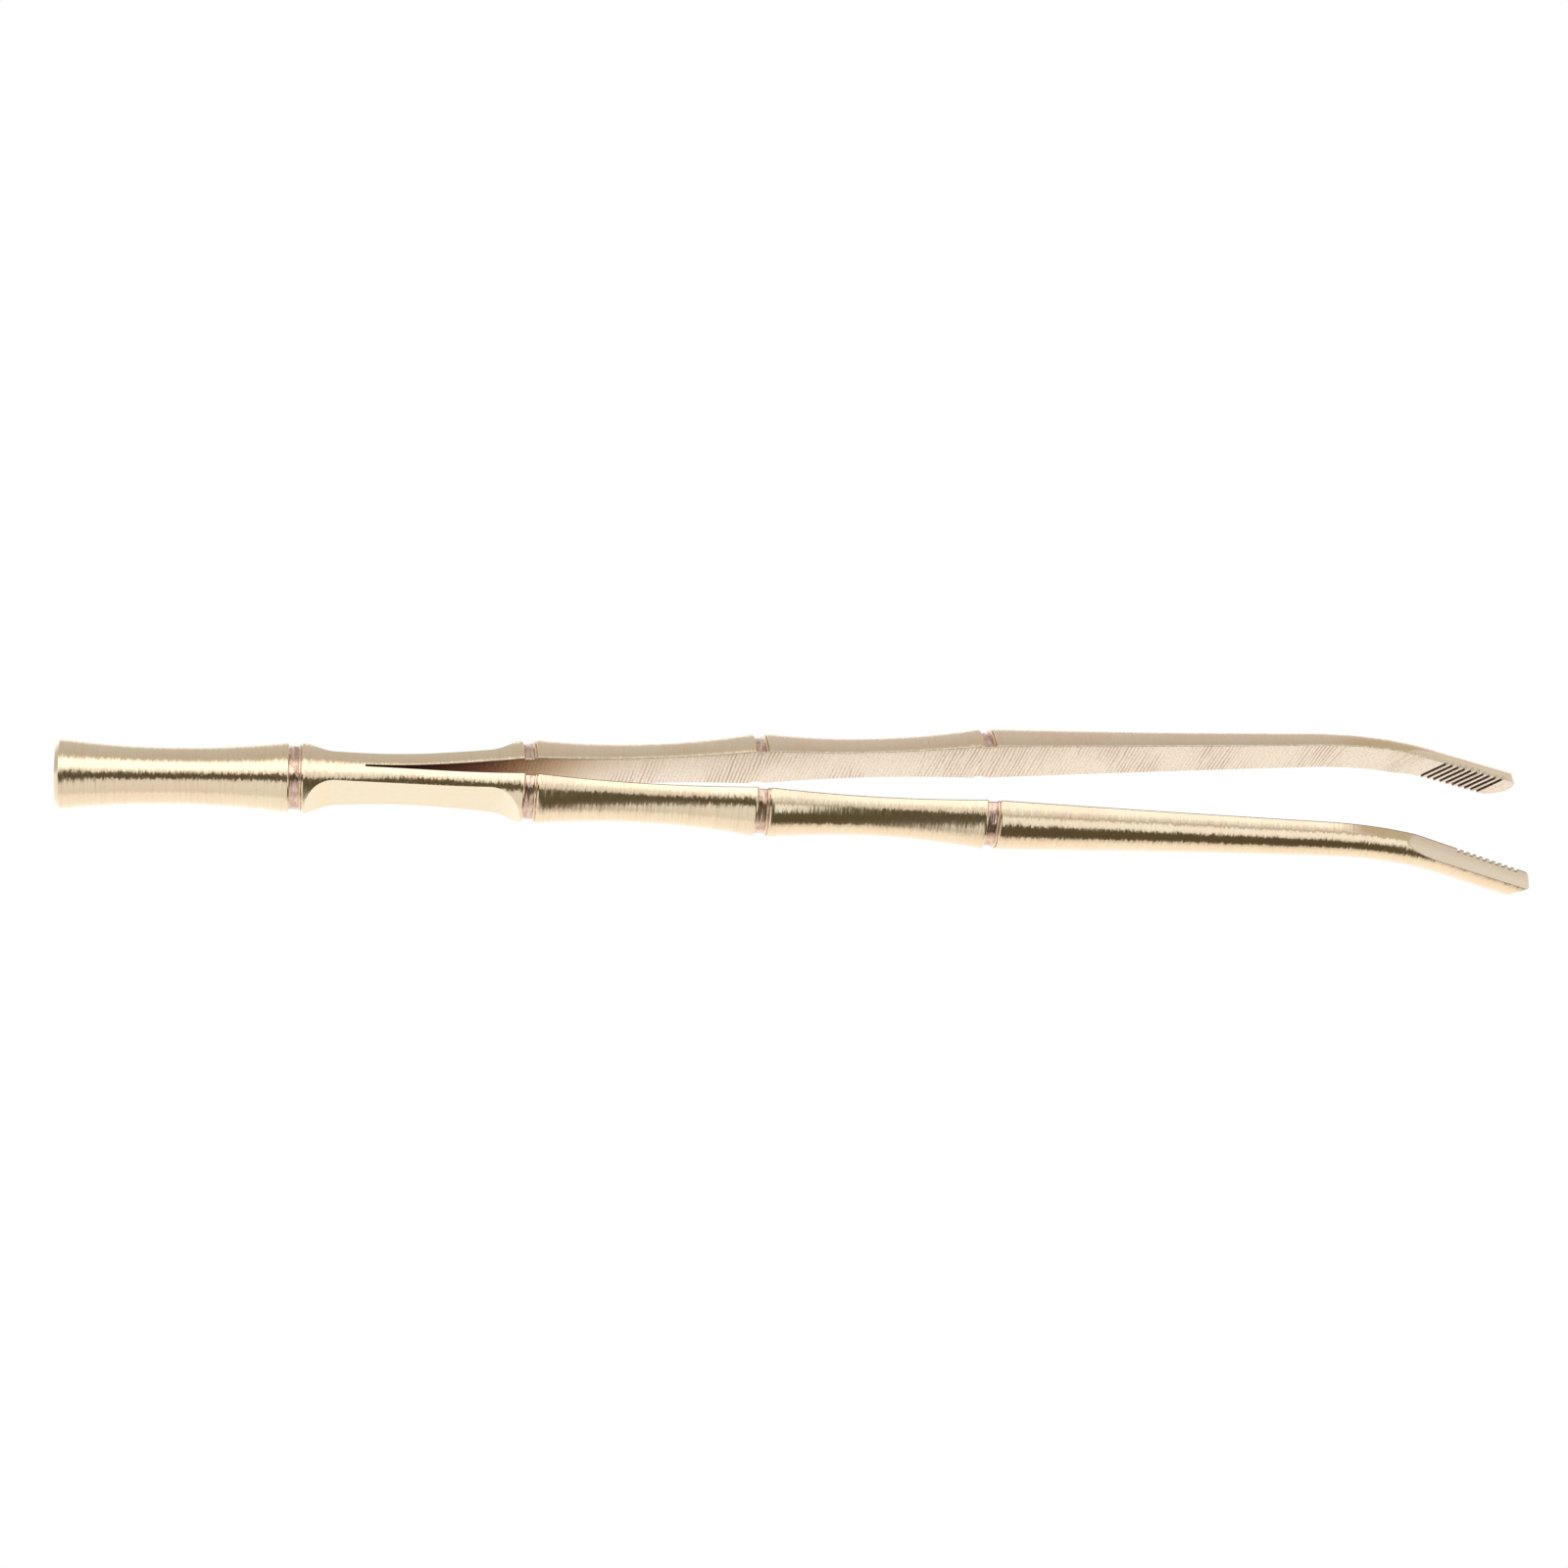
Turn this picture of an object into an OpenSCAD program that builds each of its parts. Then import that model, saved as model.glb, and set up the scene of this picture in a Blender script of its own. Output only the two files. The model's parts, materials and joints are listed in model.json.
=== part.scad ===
// Spring tongs turned from one brass rod in the shape of a bamboo cane.
// The rod is slit lengthwise from the tips to the fork root, the two halves are
// sprung apart, and their serrated tips are bent down edgewise.
// +X runs from the butt to the tips, +Y is across the opening, +Z is up as the tongs lie.

/* [Turned rod] */
// Diameter over the knuckles on both sides of each ring groove
knuckle_d = 8; // [7:0.1:9]
// Diameter in the middle of each waisted segment
waist_d = 6.4; // [6:0.1:6.8]
// Diameter at the floor of a ring groove
groove_d = 7.2; // [6.9:0.1:7.6]
// Width of a ring groove, with the thin lip that stands in it
groove_w = 1.6; // [1:0.1:2]
// Diameter of the thin lip beside the start of each segment
lip_d = 7.8; // [7.3:0.1:8]
// Width of the thin lip
lip_w = 0.3; // [0.2:0.05:0.4]
// Width of the fine line between the lip and its segment
lip_line_w = 0.1; // [0.05:0.05:0.2]
// From the butt end to the middle of the first ring groove
butt_l = 26.6; // [24:0.1:30]
// From the middle of one ring groove to the next
pitch = 26.45; // [24:0.05:28]
// Chamfer on the edges of each knuckle
edge_c = 0.15; // [0.1:0.05:0.4]
// Chamfer on the butt end
butt_c = 0.45; // [0.2:0.05:0.8]

/* [Slit and spring leaves] */
// Width of the saw slit before the arms are sprung apart
kerf = 0.25; // [0.2:0.05:0.4]
// From the butt end to the closed end of the slit
root_x = 34.3; // [33:0.1:37]
// Thickness of each spring leaf between the slit and its milled flat
leaf_t = 1.675; // [1.4:0.025:1.9]
// Radius of the run-out at both ends of a milled flat
mill_r = 4; // [3:0.1:4.5]
// Width of knuckle left between the first ring groove and the start of a milled flat
mill_start_land = 0.1; // [0.05:0.05:1]
// Width of knuckle left between the end of a milled flat and the second ring groove
mill_end_land = 0.35; // [0.05:0.05:1]
// Angle of each leaf to the middle plane once it is sprung apart
leaf_angle = 3.15; // [2.6:0.05:3.6]
// Length of the gentle bend that starts each leaf
root_bend_l = 7.7; // [4:0.1:10]
// How much less each further segment of an arm leans outwards
bow_step = 0.3; // [0:0.05:0.5]

/* [Front segment and tip] */
// From the last ring groove to the start of the bend
front_l = 39.1; // [36:0.1:42]
// Diameter at the end of the front segment and round the bend
bend_d = 5.4; // [5:0.1:6]
// Radius of the bend along the middle of the arm
bend_r = 32.8; // [28:0.1:40]
// Angle of the bend
bend_angle = 28; // [20:0.5:34]
// Diameter at the far end of the tip
tip_d = 4.7; // [4.4:0.1:5.2]
// Width of the tip between its two side flats
tip_w = 4.2; // [3.8:0.1:4.4]
// From the end of the bend to the point of the tip
tip_l = 13.4; // [12.5:0.1:15]
// Radius of the run-out behind the lower side flat
side_r = 8; // [5:0.5:12]
// Radius that rounds the back of the tip into its end
nose_r = 1.4; // [0.6:0.1:1.8]

/* [Serration] */
// Number of cross grooves in each grip face
teeth = 10; // [6:1:10]
// Distance from one cross groove to the next
tooth_pitch = 1.04; // [0.9:0.01:1.06]
// Width of a cross groove
tooth_w = 0.6; // [0.4:0.05:0.7]
// Depth of a cross groove
tooth_depth = 0.3; // [0.2:0.05:0.5]
// Slant of the cross grooves, their upper ends towards the point
tooth_slant = 9; // [0:1:15]
// From the end of the bend to the middle of the first cross groove
tooth_start = 0.72; // [0.7:0.01:1.2]

/* [Hidden] */
$fn = 128;

LEFT = 1;
RIGHT = -1;
BRASS = "#d8c48c";
BRASS_SHADE = "#c2ab74";
ROSE_BRASS = "#c9a08a";
LEAF_BRASS = "#e6d8ab";

// Room by which cutting shapes pass the faces they cut
past = 1;
knuckle_r = knuckle_d / 2;
waist_r = waist_d / 2;
groove_r = groove_d / 2;
bend_rod_r = bend_d / 2;
half_kerf = kerf / 2;
half_groove = groove_w / 2;
half_tip_w = tip_w / 2;
tip_t = tip_d / 2 - half_kerf;
segment_l = pitch - groove_w;

// Ring grooves 1 and 2 on the straight rod
groove_1_x = butt_l;
groove_2_x = butt_l + pitch;

// Radius of the long concave arc that makes each waist
waist_sag = knuckle_r - waist_r;
function waist_arc_r(l) = (pow(l / 2 - edge_c, 2) + pow(waist_sag, 2)) / (2 * waist_sag);

// Milled flats: distance from the middle plane, and the two ends of their flat part
mill_y = half_kerf + leaf_t;
mill_run = sqrt(pow(mill_r, 2) - pow(mill_r - (knuckle_r - mill_y), 2));
mill_start_x = groove_1_x + half_groove + mill_start_land + mill_run;
mill_end_x = groove_2_x - half_groove - mill_end_land - mill_run;

// A leaf starts along the rod, bends over root_bend_l, then runs straight
leaf_bend_r = root_bend_l / sin(leaf_angle);
function leaf_y(x) =
    let (u = x - root_x)
    u < root_bend_l
        ? half_kerf + leaf_bend_r - sqrt(pow(leaf_bend_r, 2) - pow(u, 2))
        : leaf_y_straight(u);
function leaf_y_straight(u) =
    half_kerf + leaf_bend_r * (1 - cos(leaf_angle)) + (u - root_bend_l) * tan(leaf_angle);

// Lean of each segment of an arm, and the point of its inner flat at each ring groove
rear_angle = leaf_angle - bow_step;
middle_angle = rear_angle - bow_step;
front_angle = middle_angle - bow_step;
groove_2 = [groove_2_x, leaf_y(groove_2_x)];
groove_3 = groove_2 + pitch * [cos(rear_angle), sin(rear_angle)];
groove_4 = groove_3 + pitch * [cos(middle_angle), sin(middle_angle)];

// The bend and the tip, along the front segment (u) and up (w) from the last groove
bend_end_u = front_l + bend_r * sin(bend_angle);
bend_end_w = -bend_r * (1 - cos(bend_angle));
round_c_u = bend_end_u + (tip_l - half_tip_w) * cos(bend_angle);
round_c_w = bend_end_w - (tip_l - half_tip_w) * sin(bend_angle);

// The tongs lie on the rim of the butt and on both tips: tilt and lift to suit
round_c_x = groove_4[0] + round_c_u * cos(front_angle);
rest_run = round_c_x - butt_c;
rest_drop = -(round_c_w + knuckle_r);
rest_tilt = atan2(rest_drop, rest_run) + asin(half_tip_w / norm([rest_drop, rest_run]));
rest_lift = knuckle_r * cos(rest_tilt) - butt_c * sin(rest_tilt);

// Ends of the tilted tongs along X, to put the origin under the middle of them
low_end_x = -(knuckle_r - butt_c) * sin(rest_tilt);
high_end_x = round_c_x * cos(rest_tilt) - round_c_w * sin(rest_tilt) + half_tip_w;
mid_x = (low_end_x + high_end_x) / 2;

// ---- placing ----

// Moves anything drawn along the rod's axis to where the tongs lie at rest
module lying() {
    translate([-mid_x, 0, rest_lift])
        rotate([0, -rest_tilt, 0])
            children();
}

// Draws one arm's part on its own side of the middle plane
module on_side(side) {
    if (side == LEFT) children();
    else mirror([0, 1, 0]) children();
}

// Puts a straight stretch of an arm at its ring groove, with its inner flat at y = 0
module at_groove(point, angle) {
    translate([point[0], point[1], 0])
        rotate([0, 0, angle])
            children();
}

// Everything between two planes across the rod
module slab(x0, x1) {
    translate([x0, -5 * knuckle_d, -5 * knuckle_d])
        cube([x1 - x0, 10 * knuckle_d, 10 * knuckle_d]);
}

// ---- turned shapes, along +X ----

// One waisted bamboo segment of length l, with its own chamfer at the start
module turned_segment(l, start_c) {
    rotate([0, 90, 0])
        rotate_extrude()
            difference() {
                polygon([
                    [0, 0], [knuckle_r - start_c, 0], [knuckle_r, start_c],
                    [knuckle_r, l - edge_c], [knuckle_r - edge_c, l], [0, l]
                ]);
                translate([waist_r + waist_arc_r(l), l / 2])
                    circle(waist_arc_r(l), $fn = 720);
            }
}

// Floor of the next ring groove, carried past the end of a segment of length l for the
// plane of that groove to cut
module groove_core(l) {
    translate([l - past, 0, 0])
        rotate([0, 90, 0])
            cylinder(h = 2 * past, r = groove_r);
}

// The round floor of a ring groove with its thin lip, its middle at x = 0
module turned_neck() {
    translate([-half_groove - past, 0, 0])
        rotate([0, 90, 0])
            cylinder(h = groove_w + past, r = groove_r);
    translate([half_groove - lip_line_w - lip_w, 0, 0])
        rotate([0, 90, 0])
            cylinder(h = lip_w, r = lip_d / 2);
}

// Keeps the half of a turned shape outside the slit; its flat lies at y = 0
module half_rod(l) {
    intersection() {
        translate([0, -half_kerf, 0]) children();
        translate([-past, 0, -knuckle_d]) cube([l + 2 * past, 2 * knuckle_d, 2 * knuckle_d]);
    }
}

// The space that the end mill takes from the +Y side of the rod
module milled_flat() {
    translate([0, 0, -knuckle_d])
        linear_extrude(2 * knuckle_d) {
            translate([mill_start_x, mill_y])
                square([mill_end_x - mill_start_x, 2 * mill_r]);
            for (x = [mill_start_x, mill_end_x])
                translate([x, mill_y + mill_r]) circle(mill_r);
        }
}

// ---- handle ----

module butt_segment() {
    color(BRASS)
        lying()
            turned_segment(butt_l - half_groove, butt_c);
}

module butt_neck() {
    color(ROSE_BRASS)
        lying()
            intersection() {
                translate([groove_1_x, 0, 0]) turned_neck();
                slab(groove_1_x - half_groove, root_x);
            }
}

module fork_root() {
    color(BRASS)
        lying()
            difference() {
                intersection() {
                    translate([groove_1_x + half_groove, 0, 0]) turned_segment(segment_l, edge_c);
                    slab(groove_1_x, root_x);
                }
                milled_flat();
                mirror([0, 1, 0]) milled_flat();
            }
}

// Outline of a leaf from above: the slit side, then the milled side and its run-out
leaf_steps = 16;
leaf_xs = [for (i = [0 : leaf_steps]) root_x + root_bend_l * i / leaf_steps];
leaf_end_x = groove_2_x - half_groove;
mill_out_xs = [for (i = [0 : leaf_steps]) mill_end_x + mill_r * sin(90 * i / leaf_steps)];
function mill_out_y(x) =
    leaf_y(x) + leaf_t + mill_r - sqrt(max(0, pow(mill_r, 2) - pow(x - mill_end_x, 2)));

module leaf_outline() {
    slit_side = [for (x = leaf_xs) [x, leaf_y(x)]];
    slit_end = [for (x = [leaf_end_x, leaf_end_x + past]) [x, leaf_y(x)]];
    run_out = [for (x = mill_out_xs) [x, mill_out_y(x)]];
    milled_side = [for (x = leaf_xs) [x, leaf_y(x) + leaf_t]];
    beyond = [leaf_end_x + past, run_out[leaf_steps][1]];
    polygon(concat(
        slit_side, slit_end, [beyond],
        [for (i = [leaf_steps : -1 : 0]) run_out[i]],
        [for (i = [leaf_steps : -1 : 0]) milled_side[i]]
    ));
}

// Lean of the line that joins the rod's axis at both ends of a leaf
leaf_lean = atan2(leaf_y(leaf_end_x) - half_kerf, leaf_end_x - root_x);

module spring_leaf(side) {
    color(LEAF_BRASS)
        lying()
            on_side(side)
                intersection() {
                    translate([root_x, 0, 0])
                        rotate([0, 0, leaf_lean])
                            translate([groove_1_x + half_groove - root_x, 0, 0]) {
                                turned_segment(segment_l, edge_c);
                                groove_core(segment_l);
                            }
                    translate([0, 0, -knuckle_d])
                        linear_extrude(2 * knuckle_d) leaf_outline();
                    slab(root_x, leaf_end_x);
                }
}

// ---- arms ----

module arm_neck(side, point, angle) {
    color(ROSE_BRASS)
        lying()
            on_side(side)
                intersection() {
                    at_groove(point, angle)
                        half_rod(groove_w)
                            turned_neck();
                    slab(point[0] - half_groove, point[0] + groove_w);
                }
}

// A waisted segment that starts at one ring groove and ends at the next
module arm_segment(side, point, angle, next_point) {
    color(BRASS)
        lying()
            on_side(side)
                intersection() {
                    at_groove(point, angle)
                        half_rod(pitch)
                            translate([half_groove, 0, 0]) {
                                turned_segment(segment_l, edge_c);
                                groove_core(segment_l);
                            }
                    slab(point[0], next_point[0] - half_groove);
                }
}

// The long tapered segment between the last ring groove and the bend
module front_segment(side) {
    l = front_l - half_groove;
    color(BRASS)
        lying()
            on_side(side)
                at_groove(groove_4, front_angle)
                    half_rod(front_l)
                        translate([half_groove, 0, 0])
                            rotate([0, 90, 0])
                                rotate_extrude()
                                    polygon([
                                        [0, 0], [knuckle_r - edge_c, 0], [knuckle_r, edge_c],
                                        [bend_rod_r, l], [0, l]
                                    ]);
}

// The half rod carried round the bend
module bent_rod() {
    translate([front_l, 0, -bend_r])
        rotate([-90, -90, 0])
            rotate_extrude(angle = bend_angle)
                intersection() {
                    translate([bend_r, -half_kerf]) circle(bend_rod_r);
                    translate([bend_r - knuckle_d, 0]) square([2 * knuckle_d, knuckle_d]);
                }
}

// Moves anything drawn from the end of the bend along the tip to where it lies
module at_tip() {
    translate([bend_end_u, 0, bend_end_w])
        rotate([0, bend_angle, 0])
            children();
}

module straight_tip() {
    intersection() {
        translate([0, -half_kerf, 0])
            rotate([0, 90, 0])
                cylinder(h = tip_l, r1 = bend_rod_r, r2 = tip_d / 2);
        translate([-past, 0, -knuckle_d]) cube([tip_l + 2 * past, knuckle_d, 2 * knuckle_d]);
    }
}

// What is ground away from the two sides and the end of the tip
module ground_sides() {
    // Upper side flat, which runs out by itself where the bend falls away from it
    translate([-bend_r, -past, half_tip_w]) cube([bend_r + 2 * tip_l, knuckle_d, knuckle_d]);
    // Lower side flat with its run-out
    translate([0, -past, -half_tip_w - knuckle_d]) cube([2 * tip_l, knuckle_d, knuckle_d]);
    translate([0, -past, -half_tip_w - side_r])
        rotate([-90, 0, 0])
            cylinder(h = knuckle_d, r = side_r);
    // Round end
    translate([tip_l - half_tip_w, -past, 0])
        rotate([-90, 0, 0])
            difference() {
                translate([0, -knuckle_d, 0]) cube([knuckle_d, 2 * knuckle_d, knuckle_d]);
                translate([0, 0, -past]) cylinder(h = knuckle_d + 2 * past, r = half_tip_w);
            }
    // Nose: the back of the tip rounds into its end
    translate([tip_l - nose_r, tip_t - nose_r, -knuckle_d])
        linear_extrude(2 * knuckle_d)
            difference() {
                square(2 * nose_r);
                circle(nose_r);
            }
}

module serration() {
    for (i = [0 : teeth - 1])
        translate([tooth_start + i * tooth_pitch, 0, 0])
            rotate([0, tooth_slant, 0])
                translate([-tooth_w / 2, -past, -knuckle_d])
                    cube([tooth_w, past + tooth_depth, 2 * knuckle_d]);
}

module bend(side) {
    color(BRASS_SHADE)
        lying()
            on_side(side)
                at_groove(groove_4, front_angle)
                    difference() {
                        bent_rod();
                        at_tip() ground_sides();
                    }
}

module serrated_tip(side) {
    color(BRASS_SHADE)
        lying()
            on_side(side)
                at_groove(groove_4, front_angle)
                    at_tip()
                        difference() {
                            straight_tip();
                            ground_sides();
                            serration();
                        }
}

butt_segment();
butt_neck();
fork_root();
spring_leaf(LEFT);  // left_spring_leaf
spring_leaf(RIGHT);  // right_spring_leaf

arm_neck(LEFT, groove_2, rear_angle);  // left_rear_neck
arm_segment(LEFT, groove_2, rear_angle, groove_3);  // left_rear_segment
arm_neck(LEFT, groove_3, middle_angle);  // left_middle_neck
arm_segment(LEFT, groove_3, middle_angle, groove_4);  // left_middle_segment
arm_neck(LEFT, groove_4, front_angle);  // left_front_neck
front_segment(LEFT);  // left_front_segment
bend(LEFT);  // left_bend
serrated_tip(LEFT);  // left_serrated_tip

arm_neck(RIGHT, groove_2, rear_angle);  // right_rear_neck
arm_segment(RIGHT, groove_2, rear_angle, groove_3);  // right_rear_segment
arm_neck(RIGHT, groove_3, middle_angle);  // right_middle_neck
arm_segment(RIGHT, groove_3, middle_angle, groove_4);  // right_middle_segment
arm_neck(RIGHT, groove_4, front_angle);  // right_front_neck
front_segment(RIGHT);  // right_front_segment
bend(RIGHT);  // right_bend
serrated_tip(RIGHT);  // right_serrated_tip
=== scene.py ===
"""Looks for the bamboo pattern brass tongs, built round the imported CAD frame.

Lengths are in millimetres along the straight rod, as in the part's source, and are turned into
metres in the row frame as each mesh is made. The rod frame has +X from the butt to the tips,
+Y across the opening and +Z up; the left arm is on the +Y side.
"""

import json
import math

import bmesh
import bpy
import numpy as np
from mathutils import Matrix, Vector


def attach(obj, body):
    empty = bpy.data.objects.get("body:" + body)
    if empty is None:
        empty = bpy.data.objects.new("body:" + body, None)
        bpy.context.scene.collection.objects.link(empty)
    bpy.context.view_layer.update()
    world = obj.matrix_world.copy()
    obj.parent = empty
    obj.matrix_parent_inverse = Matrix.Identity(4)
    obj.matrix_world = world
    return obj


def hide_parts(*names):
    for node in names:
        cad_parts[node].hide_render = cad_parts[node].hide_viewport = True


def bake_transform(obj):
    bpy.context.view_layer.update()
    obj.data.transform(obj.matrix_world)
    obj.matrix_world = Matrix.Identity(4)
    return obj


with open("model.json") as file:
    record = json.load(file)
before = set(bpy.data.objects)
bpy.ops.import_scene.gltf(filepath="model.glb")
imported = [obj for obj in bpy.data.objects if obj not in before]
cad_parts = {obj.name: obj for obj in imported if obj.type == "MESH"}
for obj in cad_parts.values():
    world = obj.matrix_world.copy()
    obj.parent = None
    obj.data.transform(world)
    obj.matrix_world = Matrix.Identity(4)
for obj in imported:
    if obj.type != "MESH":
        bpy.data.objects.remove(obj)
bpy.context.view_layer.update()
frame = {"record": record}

MM = 0.001

# ---- sizes, as in the part's source ----

KNUCKLE_R = 4.0
WAIST_R = 3.2
GROOVE_R = 3.6
HALF_GROOVE = 0.8
LIP_R = 3.9
BUTT_L = 26.6
PITCH = 26.45
EDGE_R = 0.15
BUTT_CHAMFER = 0.45
HALF_KERF = 0.125
ROOT_X = 34.3
LEAF_T = 1.675
MILL_R = 4.0
MILL_START_LAND = 0.1
MILL_END_LAND = 0.35
LEAF_ANGLE = math.radians(3.15)
BOW_STEP = math.radians(0.3)
ROOT_BEND_L = 7.7
FRONT_L = 39.1
BEND_R = 32.8
BEND_ANGLE = math.radians(28)
HALF_TIP_W = 2.1
SIDE_R = 8.0
TEETH = 10
TOOTH_PITCH = 1.04
TOOTH_W = 0.6
TOOTH_DEPTH = 0.3
TOOTH_SLANT = math.tan(math.radians(9))
TOOTH_START = 0.72

# ---- fine shape that the CAD leaves plain, or that differs a little from it ----

TIP_L = 13.1  # 13.4 in the part's source
NOSE_R = 2.0  # 1.4 in the part's source
LIP_START = 0.3  # 0.4 in the part's source, from the middle of a ring groove
LIP_END = 0.54  # 0.7 in the part's source
LINE_END = 0.62  # 0.8 in the part's source
FLAT_EDGE_R = 0.12  # rounded edge between a sawn flat and what is beside it
SLIT_EDGE_R = 0.03  # the same edge at the closed end of the slit
TOOTH_SLOPE = 0.05  # how much a cross groove narrows on each side down to its floor
BEND_START_R = 2.84  # the taper runs on through the bend
BEND_END_R = 2.46
TIP_END_R = 2.35
END_SLANT = math.tan(math.radians(17))  # the end of a tip leans, its upper corner foremost
SIDE_TILT = {"left": 0.2, "right": -0.45}  # lean of the upper side flat of each tip
STEP = 0.3  # length of one mesh ring

# ---- where the rod lies in the row frame ----

butt_mount = next(m for m in frame["record"]["mounts"] if m["name"] == "butt_end")
butt_at = Vector(butt_mount["pos_m"])
rod_x = -Vector(butt_mount["axis"])
rod_tilt = math.atan2(rod_x.z, rod_x.x)
rod_to_row = Matrix.Translation(butt_at) @ Matrix.Rotation(-rod_tilt, 4, "Y")


def to_row(points):
    """Rod frame points in millimetres as row frame points in metres."""
    turn = np.array(rod_to_row.to_3x3())
    return np.asarray(points, float) * MM @ turn.T + np.array(rod_to_row.translation)


# ---- profiles along the rod ----

GROOVE_1_X = BUTT_L
GROOVE_2_X = BUTT_L + PITCH
SEGMENT_L = PITCH - 2 * HALF_GROOVE
MILL_Y = HALF_KERF + LEAF_T
MILL_RUN = math.sqrt(MILL_R**2 - (MILL_R - (KNUCKLE_R - MILL_Y)) ** 2)
MILL_START_X = GROOVE_1_X + HALF_GROOVE + MILL_START_LAND + MILL_RUN
MILL_END_X = GROOVE_2_X - HALF_GROOVE - MILL_END_LAND - MILL_RUN


def rounded_edge(distance, radius):
    """How far an edge of that radius has fallen away at a distance from its end face."""
    if distance >= radius:
        return 0.0
    return radius - math.sqrt(radius**2 - (radius - distance) ** 2)


# (place from the middle of a ring groove, radius) over its floor, its lip, the line beyond
# and the edge of the next knuckle
GROOVE_PROFILE = [
    (-HALF_GROOVE, GROOVE_R + 0.06),
    (-HALF_GROOVE + 0.06, GROOVE_R),
    (-0.45, GROOVE_R),
    (-0.2, GROOVE_R),
    (0.05, GROOVE_R),
    (LIP_START - 0.05, GROOVE_R),
    (LIP_START, GROOVE_R + 0.06),
    (LIP_START + 0.01, LIP_R - 0.08),
    (LIP_START + 0.04, LIP_R - 0.02),
    (LIP_START + 0.08, LIP_R),
    (LIP_END - 0.08, LIP_R),
    (LIP_END - 0.04, LIP_R - 0.02),
    (LIP_END - 0.01, LIP_R - 0.08),
    (LIP_END, GROOVE_R + 0.06),
    (LINE_END, GROOVE_R + 0.06),
    (LINE_END + 0.01, KNUCKLE_R - 0.08),
    (LINE_END + 0.05, KNUCKLE_R - 0.02),
    (LINE_END + 0.1, KNUCKLE_R),
    (HALF_GROOVE, KNUCKLE_R),
]


def waist(x, length):
    """Radius at x of a waisted segment of that length."""
    sag = KNUCKLE_R - WAIST_R
    arc_r = ((length / 2 - EDGE_R) ** 2 + sag**2) / (2 * sag)
    inside = arc_r**2 - (x - length / 2) ** 2
    return min(KNUCKLE_R, WAIST_R + arc_r - math.sqrt(inside))


def segment_r(x, length, chamfer=0.0):
    """Radius at x of a segment with its rounded knuckle edge."""
    return waist(x, length) - max(0.0, chamfer - x) - rounded_edge(length - x, EDGE_R)


def front_r(x):
    """Radius of the long front segment, x from its ring groove."""
    along = (x - HALF_GROOVE) / (FRONT_L - HALF_GROOVE)
    hollow = 0.1 * math.sin(math.pi * along)
    return KNUCKLE_R + (BEND_START_R - KNUCKLE_R) * along - hollow


def mill_y(x):
    """Distance of the milled faces from the middle plane of the straight rod."""
    beyond = max(MILL_START_X - x, x - MILL_END_X, 0)
    if beyond >= MILL_R:
        return KNUCKLE_R + 1
    return MILL_Y + MILL_R - math.sqrt(MILL_R**2 - beyond**2)


def steps(start, end, step=STEP):
    """Even places from start to end, both included."""
    count = max(1, round((end - start) / step))
    return [start + (end - start) * i / count for i in range(count + 1)]


def segment_steps(length, chamfer=0.0):
    """Places along a segment, closer together at its far edge."""
    marks = set(steps(0, length))
    marks.add(chamfer)
    for i in range(5):
        marks.add(length - EDGE_R * (1 - math.cos(math.pi / 8 * i)))
    kept = []
    for x in sorted(marks):
        if not kept or x - kept[-1] > 0.012:
            kept.append(x)
    kept[-1] = length
    return kept


# ---- sections across the rod ----

ARC_POINTS = 24
BACK_POINTS = 8
WALL_POINTS = 10
EDGE_POINTS = 4
FLAT_POINTS = 10
LEAST_WALL = 0.3
CREASE_W = 0.07
LEAST_BACK = math.radians(2.5)
NO_LIMIT = 99.0


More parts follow.
